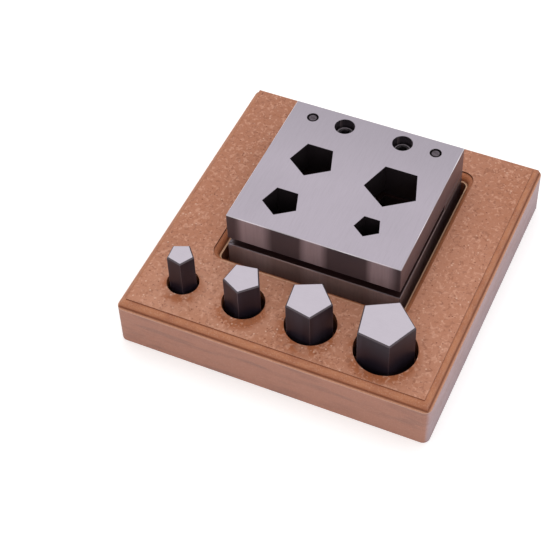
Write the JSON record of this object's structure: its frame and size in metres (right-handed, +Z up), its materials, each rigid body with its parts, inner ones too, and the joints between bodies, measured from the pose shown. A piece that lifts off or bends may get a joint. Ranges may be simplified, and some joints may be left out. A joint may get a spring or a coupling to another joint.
{
  "type": "disc cutter",
  "caption": "Steel die block with four pentagonal apertures and a sheet gap, kept with its matching loose punches in a moulded fibreboard stand.",
  "frame": {"origin": "centre of the stand's underside, on the surface that it stands on", "axes": "+X along the stand's front edge to the right, +Y from the punches towards the screws at the back, +Z up"},
  "size_m": [0.16, 0.164, 0.0505],
  "materials": {
    "fibreboard": "satin",
    "ground_steel": "satin",
    "punch_steel": "satin",
    "pin_steel": "satin",
    "blackened_steel": "matte"
  },
  "bodies": {
    "stand": {"stand": "fibreboard"},
    "die_block": {"guide_plate": "ground_steel", "spacer_strip": "ground_steel", "die_plate": "ground_steel", "left_cap_screw": "blackened_steel", "right_cap_screw": "blackened_steel", "left_dowel_pin": "pin_steel", "right_dowel_pin": "pin_steel"},
    "punch_27_loose": {"punch_27": "punch_steel"},
    "punch_22_loose": {"punch_22": "punch_steel"},
    "punch_18_loose": {"punch_18": "punch_steel"},
    "punch_13_loose": {"punch_13": "punch_steel"}
  },
  "joints": [
    {"name": "die_block_lift", "type": "slide", "parent": "stand", "child": "die_block", "axis": [0, 0, 1], "range_m": [0, 0.03]},
    {"name": "punch_27_lift", "type": "slide", "parent": "stand", "child": "punch_27_loose", "axis": [0, 0, 1], "range_m": [0, 0.04]},
    {"name": "punch_22_lift", "type": "slide", "parent": "stand", "child": "punch_22_loose", "axis": [0, 0, 1], "range_m": [0, 0.04]},
    {"name": "punch_18_lift", "type": "slide", "parent": "stand", "child": "punch_18_loose", "axis": [0, 0, 1], "range_m": [0, 0.04]},
    {"name": "punch_13_lift", "type": "slide", "parent": "stand", "child": "punch_13_loose", "axis": [0, 0, 1], "range_m": [0, 0.04]}
  ]
}
